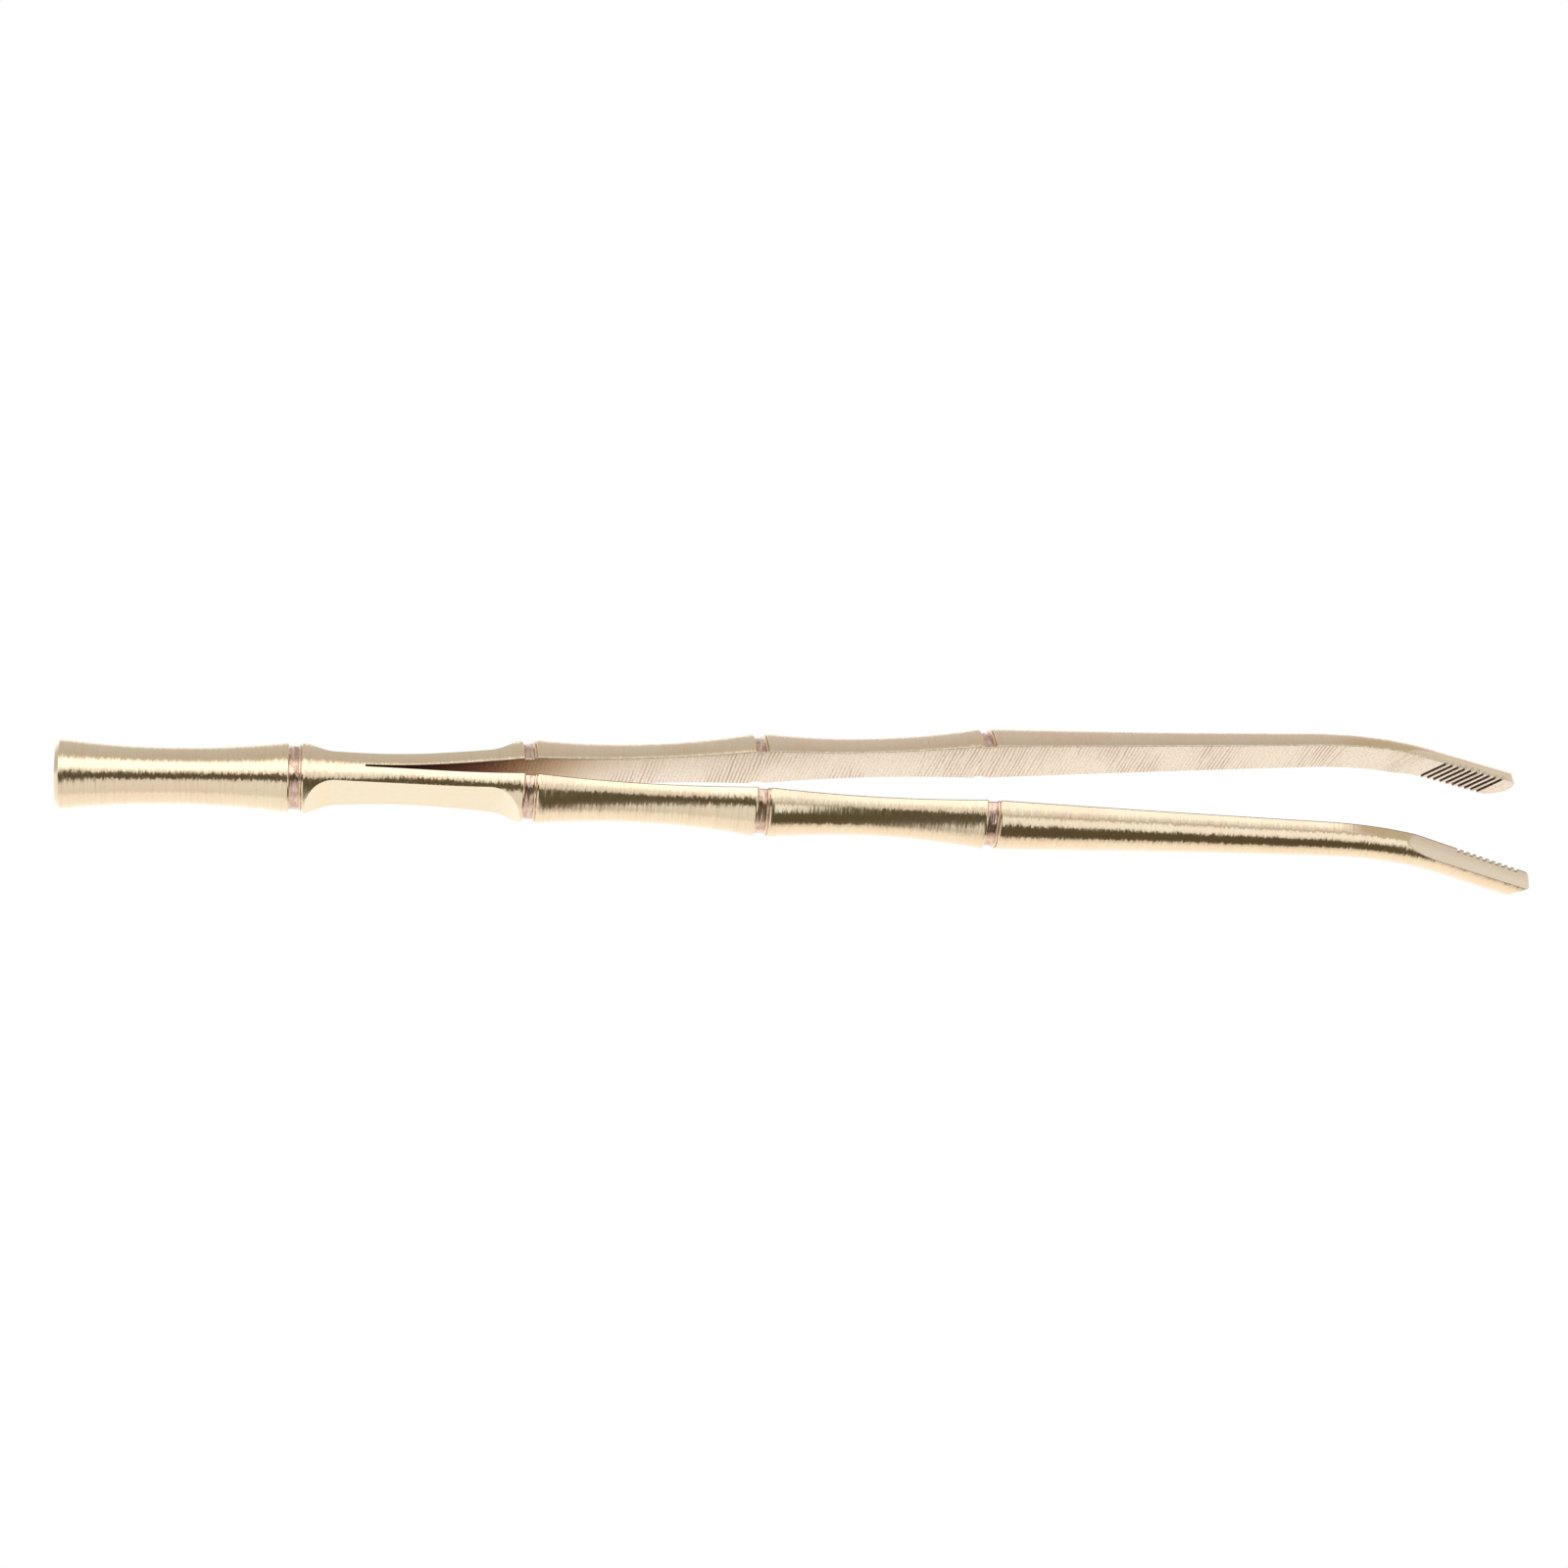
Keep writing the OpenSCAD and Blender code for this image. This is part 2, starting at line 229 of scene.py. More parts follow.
class Section:
    """A half rod's section: y away from the slit, w across it."""

    def __init__(
        self,
        r,
        back=NO_LIMIT,
        up=NO_LIMIT,
        down=NO_LIMIT,
        tilt=0.0,
        end=NO_LIMIT,
        floor=0.0,
        edge=FLAT_EDGE_R,
    ):
        self.r = r
        self.edge = edge
        self.back = back
        self.sides = {1: (up, tilt), -1: (down, 0.0)}
        self.end = end
        self.floor = floor

    def arc_w(self, y):
        return math.sqrt(max(0.0, self.r**2 - (y + HALF_KERF) ** 2))

    def side_w(self, y, side):
        limit, tilt = self.sides[side]
        return min(self.arc_w(y), limit + tilt * y, self.end)

    def is_cut(self, index):
        """Whether the side flat, and not the turned face, lies at that outline point."""
        side = 1 if index < SIDE_COUNT else -1
        place = index if side == 1 else 2 * SIDE_COUNT - 2 - index
        y = self.side(side)[max(0, place)][0]
        limit, tilt = self.sides[side]
        return limit + tilt * y < self.arc_w(y) - 0.004

    def crease_angle(self, side):
        """Angle round the rod, from the flat, at which a side flat meets the turned face."""
        limit, tilt = self.sides[side]
        least = math.asin(min(1.0, (self.floor + LEAST_WALL + HALF_KERF) / self.r))
        slant = self.r * math.hypot(1, tilt)
        cosine = (limit - tilt * HALF_KERF) / slant
        plane = math.acos(cosine) - math.atan(tilt) if cosine < 1 else 0.0
        rounded = math.acos(self.end / self.r) if self.end < self.r else 0.0
        return max(least, plane, rounded)

    def side(self, side):
        """Points of one side, from the corner of the flat to the middle of the back."""
        first = self.crease_angle(side)
        reach = (self.back + HALF_KERF) / self.r
        last = math.asin(reach) if reach < 1 else math.pi / 2
        last = max(first, min(last, math.pi / 2 - LEAST_BACK))
        wall_top = min(self.r * math.sin(first) - HALF_KERF, self.back)
        ys = []
        for i in range(EDGE_POINTS):
            ys.append(self.floor + self.edge * (1 - math.cos(math.pi / 2 * i / EDGE_POINTS)))
        start = self.floor + self.edge
        for i in range(WALL_POINTS):
            ys.append(start + (wall_top - CREASE_W - start) * i / (WALL_POINTS - 1))
        ys.append(wall_top)
        points = []
        for y in ys:
            w = self.side_w(y, side) - rounded_edge(y - self.floor, self.edge)
            points.append((y, max(0.0, w)))
        for i in range(1, ARC_POINTS + 1):
            angle = first + (last - first) * i / ARC_POINTS
            y = min(self.r * math.sin(angle) - HALF_KERF, self.back)
            points.append((y, min(self.r * math.cos(angle), self.end)))
        last_w = points[-1][1]
        for i in range(1, BACK_POINTS + 1):
            w = last_w * (1 - i / BACK_POINTS)
            y = math.sqrt(self.r**2 - w**2) - HALF_KERF
            points.append((min(y, self.back), w))
        return [(y, side * w) for y, w in points]

    def ring(self):
        """The closed outline: the upper side, the lower side backwards, then the flat."""
        upper = self.side(1)
        lower = self.side(-1)
        outline = upper + lower[-2::-1]
        low_w, high_w = lower[0][1], upper[0][1]
        for i in range(1, FLAT_POINTS):
            outline.append((self.floor, low_w + (high_w - low_w) * i / FLAT_POINTS))
        return outline


SIDE_COUNT = EDGE_POINTS + WALL_POINTS + 1 + ARC_POINTS + BACK_POINTS
OUTLINE_COUNT = 2 * SIDE_COUNT - 1 + FLAT_POINTS - 1


def half_kind(index):
    """What the strip of faces that starts at that outline point belongs to."""
    side_faces = SIDE_COUNT - 1
    place = index if index < side_faces else 2 * side_faces - 1 - index
    if place < 0:
        return "flat"
    if place < EDGE_POINTS:
        return "edge"
    if place < EDGE_POINTS + WALL_POINTS - 1:
        return "wall"
    if place < EDGE_POINTS + WALL_POINTS:
        return "crease"
    if place < EDGE_POINTS + WALL_POINTS + ARC_POINTS:
        return "round"
    return "back"


QUARTER_POINTS = 24
QUARTER_BACK = 8


def full_ring(r, back=NO_LIMIT):
    """A whole rod's outline, with its two sides cut flat at that distance."""
    last = math.asin(back / r) if back < r else math.pi / 2 - LEAST_BACK
    quarter = []
    for i in range(QUARTER_POINTS):
        angle = last * i / QUARTER_POINTS
        quarter.append((r * math.sin(angle), r * math.cos(angle)))
    last_w = r * math.cos(last)
    for i in range(QUARTER_BACK + 1):
        w = last_w * (1 - i / QUARTER_BACK)
        quarter.append((min(math.sqrt(r**2 - w**2), back), w))
    half = quarter + [(y, -w) for y, w in quarter[-2::-1]]
    return half + [(-y, w) for y, w in half[-2:0:-1]]


def full_kind(index):
    """As half_kind, for a whole rod."""
    quarter = QUARTER_POINTS + QUARTER_BACK
    place = index % (2 * quarter)
    place = min(place, 2 * quarter - 1 - place)
    return "round" if place < QUARTER_POINTS else "back"


# ---- places along an arm: point, direction, outwards, up; all on the left side ----


def along_plan(point, angle, u):
    """A place at u along a straight stretch that leaves point at an angle."""
    ahead = np.array([math.cos(angle), math.sin(angle), 0.0])
    out = np.array([-math.sin(angle), math.cos(angle), 0.0])
    return point + u * ahead, ahead, out, np.array([0.0, 0.0, 1.0])


LEAF_BEND_R = ROOT_BEND_L / math.sin(LEAF_ANGLE)
REAR_ANGLE = LEAF_ANGLE - BOW_STEP
MIDDLE_ANGLE = REAR_ANGLE - BOW_STEP
FRONT_ANGLE = MIDDLE_ANGLE - BOW_STEP


def leaf_place(x):
    """A place on the slit side of the left leaf, x along the rod."""
    u = x - ROOT_X
    angle = math.asin(min(u / LEAF_BEND_R, math.sin(LEAF_ANGLE)))
    y = HALF_KERF + LEAF_BEND_R * (1 - math.cos(angle))
    y += max(0.0, u - ROOT_BEND_L) * math.tan(LEAF_ANGLE)
    return along_plan(np.array([x, y, 0.0]), angle, 0)


groove_2 = leaf_place(GROOVE_2_X)[0]
groove_3 = along_plan(groove_2, REAR_ANGLE, PITCH)[0]
groove_4 = along_plan(groove_3, MIDDLE_ANGLE, PITCH)[0]
GROOVE_4_X = float(groove_4[0])
MARK_GROUPS_X = GROOVE_4_X + 33.6  # between two groups of deeper saw marks
MARK_GROUPS_APART = 12.8


def neck_place(groove, before, after, u):
    """A place in a ring groove, where the arm bows from one angle to the next."""
    point = along_plan(groove, before if u < 0 else after, u)[0]
    share = (u + HALF_GROOVE) / (2 * HALF_GROOVE)
    return along_plan(point, before + (after - before) * share, 0)


def bend_place(angle):
    """A place round the bend, at an angle from its start."""
    point, ahead, out, up = along_plan(groove_4, FRONT_ANGLE, FRONT_L)
    sine, cosine = math.sin(angle), math.cos(angle)
    point = point + BEND_R * sine * ahead - BEND_R * (1 - cosine) * up
    return point, ahead * cosine - up * sine, out, ahead * sine + up * cosine


def tip_place(u):
    """A place along the straight tip."""
    point, ahead, out, up = bend_place(BEND_ANGLE)
    return point + u * ahead, ahead, out, up


# ---- meshes ----


def loft(name, outlines, places, alongs, kind_of, materials, closed_tip=False, slants=None):
    """A closed mesh through outlines set at places. materials gives a material for each kind.

    The attribute "lay" holds each point as if the rod were straight: along, outwards, up.
    slants gives, for each outline, how far along it is moved for each millimetre up, and the
    share of that which reaches away from the flat.
    """
    count = len(outlines[0])
    points, lays = [], []
    slants = slants or [(0.0, 0.0)] * len(outlines)
    for outline, (point, ahead, out, up), along, (slant, reach) in zip(outlines, places, alongs, slants):
        for y, w in outline:
            fade = min(1.0, max(0.0, y - TOOTH_DEPTH) / 0.8)
            moved = slant * w * (1 - (1 - reach) * fade)
            points.append(point + moved * ahead + y * out + w * up)
            lays.append((along + moved, y, w))
    faces, kinds = [], []
    for i in range(len(outlines) - 1):
        for j in range(count):
            k = (j + 1) % count
            row, nxt = i * count, (i + 1) * count
            faces.append((row + j, row + k, nxt + k, nxt + j))
            kinds.append(kind_of(j, i))
    ends = [0] if closed_tip else [0, len(outlines) - 1]
    for i in ends:
        centre = len(points)
        row = i * count
        points.append(np.mean(points[row : row + count], axis=0))
        lays.append(tuple(np.mean(lays[row : row + count], axis=0)))
        for j in range(count):
            faces.append((row + j, row + (j + 1) % count, centre))
            kinds.append("end")
    mesh = bpy.data.meshes.new(name)
    mesh.from_pydata(to_row(points).tolist(), [], faces)
    lay = mesh.attributes.new("lay", "FLOAT_VECTOR", "POINT")
    lay.data.foreach_set("vector", np.array(lays, np.float32).ravel())
    names = []
    for kind in kinds:
        material = materials.get(kind, materials["round"])
        if material.name not in names:
            names.append(material.name)
            mesh.materials.append(material)
    chosen = [names.index(materials.get(kind, materials["round"]).name) for kind in kinds]
    mesh.polygons.foreach_set("material_index", chosen)
    tidy = bmesh.new()
    tidy.from_mesh(mesh)
    bmesh.ops.remove_doubles(tidy, verts=tidy.verts, dist=2e-7)
    bmesh.ops.dissolve_degenerate(tidy, edges=tidy.edges, dist=1e-7)
    bmesh.ops.recalc_face_normals(tidy, faces=tidy.faces)
    tidy.to_mesh(mesh)
    tidy.free()
    mesh.shade_smooth()
    mesh.set_sharp_from_angle(angle=math.radians(26))
    piece = bpy.data.objects.new(name, mesh)
    bpy.context.scene.collection.objects.link(piece)
    return piece


def on_side(side, places):
    """The same places on the left arm, or mirrored on the right arm."""
    if side == "left":
        return places
    flip = np.array([1.0, -1.0, 1.0])
    return [tuple(v * flip for v in place) for place in places]


def finish_piece(piece, node, body):
    """Puts a piece in place of its CAD node, on its body."""
    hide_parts(node)
    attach(piece, body)


# ---- materials ----


class Nodes:
    """Short calls for building one node tree."""

    def __init__(self, tree):
        self.tree = tree
        tree.nodes.clear()

    def add(self, kind, inputs=None, **settings):
        node = self.tree.nodes.new(kind)
        for key, value in settings.items():
            setattr(node, key, value)
        for key, value in (inputs or {}).items():
            self.put(node.inputs[key], value)
        return node

    def put(self, socket, value):
        if isinstance(value, bpy.types.NodeSocket):
            self.tree.links.new(value, socket)
        else:
            socket.default_value = value

    def math(self, operation, a, b=0.0, clamp=False):
        node = self.add("ShaderNodeMath", {0: a, 1: b}, operation=operation, use_clamp=clamp)
        return node.outputs[0]

    def scaled(self, vector, scale):
        node = self.add("ShaderNodeVectorMath", {0: vector, 1: scale}, operation="MULTIPLY")
        return node.outputs[0]

    def noise(self, vector, scale, detail=2.0, rough=0.5):
        """Noise over a vector whose axes are scaled first, in features per millimetre."""
        inputs = {"Vector": self.scaled(vector, scale), "Scale": 1.0, "Detail": detail, "Roughness": rough}
        return self.add("ShaderNodeTexNoise", inputs).outputs[0]

    def span(self, value, low, high, to_low=0.0, to_high=1.0, smooth=False):
        inputs = {"Value": value, "From Min": low, "From Max": high, "To Min": to_low, "To Max": to_high}
        kind = "SMOOTHSTEP" if smooth else "LINEAR"
        return self.add("ShaderNodeMapRange", inputs, interpolation_type=kind).outputs[0]

    def mix(self, share, a, b):
        """Colour a at share 0, colour b at share 1."""
        node = self.add("ShaderNodeMix", data_type="RGBA")
        self.put(node.inputs[0], share)
        self.put(node.inputs[6], a)
        self.put(node.inputs[7], b)
        return node.outputs[2]

    def ramp(self, value, stops, interpolation="LINEAR"):
        """A colour ramp from a list of (place, colour)."""
        node = self.add("ShaderNodeValToRGB", {0: value})
        elements = node.color_ramp.elements
        node.color_ramp.interpolation = interpolation
        while len(elements) < len(stops):
            elements.new(0.5)
        for element, (place, colour) in zip(elements, stops):
            element.position = place
            element.color = colour
        return node.outputs[0]

    def bump(self, height, distance):
        inputs = {"Strength": 1.0, "Distance": distance, "Height": height}
        return self.add("ShaderNodeBump", inputs).outputs[0]

    def ruffled(self, round_noise, round_by, along_noise, along_by):
        """The surface direction, turned a little round the rod and along it by two noises."""
        normal = self.add("ShaderNodeNewGeometry").outputs["Normal"]
        rod = (1.0, 0.0, 0.0)
        across = self.add("ShaderNodeVectorMath", {0: rod, 1: normal}, operation="CROSS_PRODUCT").outputs[0]
        turn = self.math("MULTIPLY", self.math("SUBTRACT", round_noise, 0.5), round_by)
        lean = self.math("MULTIPLY", self.math("SUBTRACT", along_noise, 0.5), along_by)
        sideways = self.add("ShaderNodeVectorMath", {0: across, "Scale": turn}, operation="SCALE").outputs[0]
        onwards = self.add("ShaderNodeVectorMath", {0: rod, "Scale": lean}, operation="SCALE").outputs[0]
        moved = self.add("ShaderNodeVectorMath", {0: normal, 1: sideways}).outputs[0]
        moved = self.add("ShaderNodeVectorMath", {0: moved, 1: onwards}).outputs[0]
        return self.add("ShaderNodeVectorMath", {0: moved}, operation="NORMALIZE").outputs[0]

    def brass(self, colour, roughness, normal=None, metallic=1.0):
        inputs = {"Base Color": colour, "Roughness": roughness, "Metallic": metallic}
        if normal is not None:
            inputs["Normal"] = normal
        shader = self.add("ShaderNodeBsdfPrincipled", inputs)
        self.add("ShaderNodeOutputMaterial", {"Surface": shader.outputs[0]})


def new_material(name):
    material = bpy.data.materials.new(name)
    material.use_nodes = True
    nodes = Nodes(material.node_tree)
    lay = nodes.add("ShaderNodeAttribute", attribute_name="lay").outputs["Vector"]
    return material, nodes, lay


POLISHED = (0.90, 0.78, 0.575, 1)
POLISHED_WARM = (0.90, 0.74, 0.545, 1)
POLISHED_DARK = (0.62, 0.50, 0.33, 1)
MILLED = (0.92, 0.81, 0.62, 1)
SAWN = (0.99, 0.91, 0.79, 1)
SAWN_DARK = (0.60, 0.47, 0.36, 1)
# Painted shade of the narrow slit together with a stain, near its closed end
SLIT_SHADE_AND_STAIN = (0.42, 0.20, 0.10, 1)
PALE_SLIT_SHADE_AND_STAIN = (0.62, 0.42, 0.22, 1)
ROSE = (0.84, 0.66, 0.53, 1)
ROSE_DARK = (0.58, 0.39, 0.31, 1)
GROUND = (0.80, 0.69, 0.53, 1)
# Painted sheen on the side flats, away from the sawn flat
GROUND_SHEEN = (0.96, 0.87, 0.72, 1)
# Painted highlight for the left arm's sawn edges and the upper ends of the serration floors
EDGE_HIGHLIGHT = (0.99, 0.93, 0.80, 1)
# Painted shade for the right arm's sawn edges
EDGE_SHADE = (0.34, 0.25, 0.18, 1)
# Painted shade line along the right arm's creases, where a side flat meets the turned face
CREASE_SHADE = (0.62, 0.52, 0.40, 1)
# Painted shade in the serration floors, with lighter grain specks
TOOTH_FLOOR_SHADE = (0.17, 0.11, 0.09, 1)
TOOTH_SPECK = (0.36, 0.26, 0.21, 1)


def make_polished():
    """Turned faces: fine lines round the rod, ragged where the light changes."""
    material, nodes, lay = new_material("polished_brass")
    lines = nodes.noise(lay, (4.0, 0.12, 0.12), 3.0, 0.7)
    streaks = nodes.noise(lay, (4.6, 1.2, 1.2), 4.0, 0.75)
    patches = nodes.noise(lay, (0.16, 0.3, 0.3), 1.0)
    specks = nodes.noise(lay, (1.6, 1.6, 1.6), 3.0, 0.7)
    warm = nodes.mix(nodes.span(patches, 0.4, 0.65), POLISHED, POLISHED_WARM)
    lined = nodes.mix(nodes.span(lines, 0.52, 0.72, 0.0, 0.22), warm, POLISHED_DARK)
    colour = nodes.mix(nodes.span(specks, 0.6, 0.75, 0.0, 0.3), lined, POLISHED_DARK)
    roughness = nodes.span(lines, 0.3, 0.7, 0.11, 0.18)
    nodes.brass(colour, roughness, nodes.ruffled(streaks, 0.4, lines, 0.14))
    return material


def make_milled():
    """Faces left by the end mill."""
    material, nodes, lay = new_material("milled_brass")
    grain = nodes.noise(lay, (2.0, 2.0, 2.0), 3.0)
    colour = nodes.mix(nodes.span(grain, 0.3, 0.7), MILLED, POLISHED)
    nodes.brass(colour, 0.36, nodes.bump(grain, 2e-6))
    return material


def make_sawn():
    """The sawn flats: slanting saw marks over a fine grain, with a stain and painted shade near the closed
    end of the slit.
    """
    material, nodes, lay = new_material("sawn_brass")
    split = nodes.add("ShaderNodeSeparateXYZ", {0: lay})
    along, across = split.outputs[0], split.outputs[2]
    slant = nodes.math("ADD", along, nodes.math("MULTIPLY", across, -0.09))
    slanted = nodes.add("ShaderNodeCombineXYZ", {0: slant, 1: split.outputs[1], 2: across}).outputs[0]
    wander = nodes.noise(slanted, (0.5, 0.2, 0.15), 2.0, 0.5)
    turns = nodes.math("ADD", nodes.math("MULTIPLY", slant, 14.5), nodes.math("MULTIPLY", wander, 9.0))
    wave = nodes.span(nodes.math("SINE", turns), -0.3, 0.8)
    uneven = nodes.noise(slanted, (1.4, 0.2, 0.12), 3.0, 0.65)
    marks = nodes.math("MULTIPLY", wave, nodes.span(uneven, 0.3, 0.6))
    grain = nodes.noise(lay, (3.2, 3.2, 3.2), 3.0, 0.8)
    groups = nodes.noise(slanted, (0.11, 0.1, 0.05), 1.0)
    near_groove = nodes.math("ABSOLUTE", nodes.math("SUBTRACT", along, GROOVE_4_X))
    by_groove = nodes.span(near_groove, 3, 13, 1.0, 0.0)
    here = nodes.math("MAXIMUM", by_groove, nodes.span(groups, 0.48, 0.6, 0.2, 1.0))
    from_middle = nodes.math("ABSOLUTE", nodes.math("SUBTRACT", along, MARK_GROUPS_X))
    from_group = nodes.math("ABSOLUTE", nodes.math("SUBTRACT", from_middle, MARK_GROUPS_APART / 2))
    here = nodes.math("MAXIMUM", here, nodes.span(from_group, 1.5, 4, 1.0, 0.0))
    mark_share = nodes.math("MULTIPLY", marks, here)
    share = nodes.math("ADD", mark_share, nodes.span(grain, 0.45, 0.62, 0.0, 0.45), clamp=True)
    clean = nodes.mix(share, SAWN, SAWN_DARK)
    # Painted shade of the narrow slit together with a stain browns the flats near its closed end
    speckled = nodes.math("ADD", along, nodes.math("MULTIPLY", grain, 24.0))
    brown = nodes.mix(nodes.span(speckled, 57, 66, smooth=True), SLIT_SHADE_AND_STAIN, PALE_SLIT_SHADE_AND_STAIN)
    shade_and_stain = nodes.span(speckled, 59, 76, 1.0, 0.0, smooth=True)
    colour = nodes.mix(shade_and_stain, clean, brown)
    height = nodes.math("ADD", nodes.math("MULTIPLY", mark_share, 1.2), grain)
    nodes.brass(colour, 0.48, nodes.bump(height, 1.6e-5))
    return material


def make_rose():
    """Groove floors, with short streaks along the groove."""
    material, nodes, lay = new_material("rose_brass")
    streaks = nodes.noise(lay, (2.2, 0.9, 0.9), 3.0, 0.6)
    lines = nodes.noise(lay, (7.0, 0.3, 0.3), 2.0)
    colour = nodes.mix(nodes.span(streaks, 0.4, 0.6), ROSE, ROSE_DARK)
    nodes.brass(colour, 0.18, nodes.ruffled(streaks, 0.5, lines, 0.5))
    return material


def make_ground():
    """The side flats and the end of a tip, with a painted sheen that makes them paler away from the sawn
    flat.
    """
    material, nodes, lay = new_material("ground_brass")
    outwards = nodes.add("ShaderNodeSeparateXYZ", {0: lay}).outputs[1]
    grain = nodes.noise(lay, (1.0, 6.0, 3.0), 3.0, 0.6)
    place = nodes.math("ADD", outwards, nodes.math("MULTIPLY", grain, 0.8))
    # Painted sheen, paler away from the sawn flat
    colour = nodes.mix(nodes.span(place, 0.5, 1.7), GROUND, GROUND_SHEEN)
    nodes.brass(colour, 0.3, nodes.bump(grain, 5e-6))
    return material


def make_plain(name, colour, roughness):
    """A fine edge or line in one flat colour, used for painted highlights and painted shade lines, a little
    uneven along its length.
    """
    material, nodes, lay = new_material(name)
    uneven = nodes.noise(lay, (2.5, 1.0, 1.0), 2.0)
    faded = [0.7 * c for c in colour[:3]] + [1]
    mixed = nodes.mix(nodes.span(uneven, 0.35, 0.65), colour, faded)
    nodes.brass(mixed, roughness)
    return material


def make_tooth_floor_shade():
    """The floors of the serration, darkened with painted shade, with a painted highlight towards their upper
    ends.
    """
    material, nodes, lay = new_material("serration_shade_brass")
    grain = nodes.noise(lay, (4.0, 4.0, 4.0), 3.0, 0.7)
    deep = nodes.mix(nodes.span(grain, 0.45, 0.7), TOOTH_FLOOR_SHADE, TOOTH_SPECK)
    upwards = nodes.add("ShaderNodeSeparateXYZ", {0: lay}).outputs[2]
    # Painted highlight towards the upper ends of the serration floors
    colour = nodes.mix(nodes.span(upwards, 1.6, 1.8), deep, EDGE_HIGHLIGHT)
    nodes.brass(colour, 0.55, nodes.bump(grain, 2e-5), metallic=0.7)
    return material


polished = make_polished()
milled = make_milled()
sawn = make_sawn()
rose = make_rose()
ground = make_ground()
tooth_floor_shade = make_tooth_floor_shade()
# Painted highlight and painted shade lines for the sawn edges
edge_highlight = make_plain("edge_highlight_brass", EDGE_HIGHLIGHT, 0.5)
edge_shade = make_plain("edge_shade_brass", EDGE_SHADE, 0.5)
# Painted shade line for the right arm's creases
crease_shade = make_plain("crease_shade_brass", CREASE_SHADE, 0.4)


# ---- the handle ----


def straight_places(xs):
    return [along_plan(np.array([x, 0.0, 0.0]), 0.0, 0) for x in xs]


def full_kind_at(index, _):
    return full_kind(index)


def half_kind_at(index, _):
    return half_kind(index)


def make_butt_segment():
    length = BUTT_L - HALF_GROOVE
    xs = segment_steps(length, BUTT_CHAMFER)
    outlines = [full_ring(segment_r(x, length, BUTT_CHAMFER)) for x in xs]
    piece = loft("butt", outlines, straight_places(xs), xs, full_kind_at, {"round": polished})
    finish_piece(piece, "butt_segment", "handle")


def groove_kind(found, row):
    """A ring groove's kinds: its lip is polished like the segments."""
    u = GROOVE_PROFILE[row][0]
    raised = LIP_START < u < LIP_END or u > LINE_END
    return "lip" if found in ("round", "back") and raised else found


def make_butt_neck():
    xs = [GROOVE_1_X + u for u, _ in GROOVE_PROFILE]
    outlines = [full_ring(r) for _, r in GROOVE_PROFILE]

    def kind(index, row):
        return groove_kind("round", row)

    materials = {"round": rose, "lip": polished}
    piece = loft("butt_groove", outlines, straight_places(xs), xs, kind, materials)
    finish_piece(piece, "butt_neck", "handle")


def make_fork_root():
    start = GROOVE_1_X + HALF_GROOVE
    xs = [start + x for x in segment_steps(SEGMENT_L) if start + x < ROOT_X - 0.05] + [ROOT_X]
    outlines = [full_ring(segment_r(x - start, SEGMENT_L), mill_y(x)) for x in xs]

    def kind(index, row):
        cut = mill_y(xs[row + 1]) < segment_r(xs[row + 1] - start, SEGMENT_L)
        return full_kind(index) if cut else "round"

    piece = loft("root", outlines, straight_places(xs), xs, kind, {"round": polished, "back": milled})
    finish_piece(piece, "fork_root", "handle")


# ---- the arms ----


def arm_materials(side):
    """The left arm's sawn edges get a painted highlight and the right arm's a painted shade line."""
    edge = edge_highlight if side == "left" else edge_shade
    return {"round": polished, "flat": sawn, "edge": edge}


def make_leaf(side):
    start = GROOVE_1_X + HALF_GROOVE
    xs = [start + x for x in segment_steps(SEGMENT_L) if start + x > ROOT_X + 0.05]
    xs = [ROOT_X] + xs
    outlines = []
    for x in xs:
        back = mill_y(x) - HALF_KERF
        edge = SLIT_EDGE_R + (FLAT_EDGE_R - SLIT_EDGE_R) * min(1.0, (x - ROOT_X) / 14)
        outlines.append(Section(segment_r(x - start, SEGMENT_L), back=back, edge=edge).ring())

    def kind(index, row):
        cut = mill_y(xs[row]) < segment_r(xs[row] - start, SEGMENT_L)
        found = half_kind(index)
        return "round" if found == "back" and not cut else found

    places = on_side(side, [leaf_place(x) for x in xs])
    materials = {**arm_materials(side), "back": milled}
    piece = loft(side + "_leaf", outlines, places, xs, kind, materials)
    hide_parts(side + "_spring_leaf")
    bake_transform(piece)


def make_neck(side, name, groove, before, after):
    us = [u for u, _ in GROOVE_PROFILE]
    outlines = [Section(r).ring() for _, r in GROOVE_PROFILE]
    places = on_side(side, [neck_place(groove, before, after, u) for u in us])
    alongs = [groove[0] + u for u in us]

    def kind(index, row):
        return groove_kind(half_kind(index), row)

    materials = {**arm_materials(side), "round": rose, "lip": polished}
    piece = loft(f"{side}_{name}_groove", outlines, places, alongs, kind, materials)
    finish_piece(piece, f"{side}_{name}_neck", side + "_arm")


def make_segment(side, name, groove, angle):
    us = segment_steps(SEGMENT_L)
    outlines = [Section(segment_r(u, SEGMENT_L)).ring() for u in us]
    places = on_side(side, [along_plan(groove, angle, HALF_GROOVE + u) for u in us])
    alongs = [groove[0] + HALF_GROOVE + u for u in us]
    piece = loft(f"{side}_{name}_cane", outlines, places, alongs, half_kind_at, arm_materials(side))
    finish_piece(piece, f"{side}_{name}_segment", side + "_arm")


def make_front(side):
    us = [HALF_GROOVE + u for u in segment_steps(FRONT_L - HALF_GROOVE)]
    outlines = [Section(front_r(u)).ring() for u in us]
    places = on_side(side, [along_plan(groove_4, FRONT_ANGLE, u) for u in us])
    alongs = [groove_4[0] + u for u in us]
    piece = loft(f"{side}_front_cane", outlines, places, alongs, half_kind_at, arm_materials(side))
    finish_piece(piece, f"{side}_front_segment", side + "_arm")


def upper_flat(before_end):
    """Height of the upper side flat above the arm's axis, at an angle before the bend's end."""
    return (BEND_R + HALF_TIP_W) / math.cos(before_end) - BEND_R


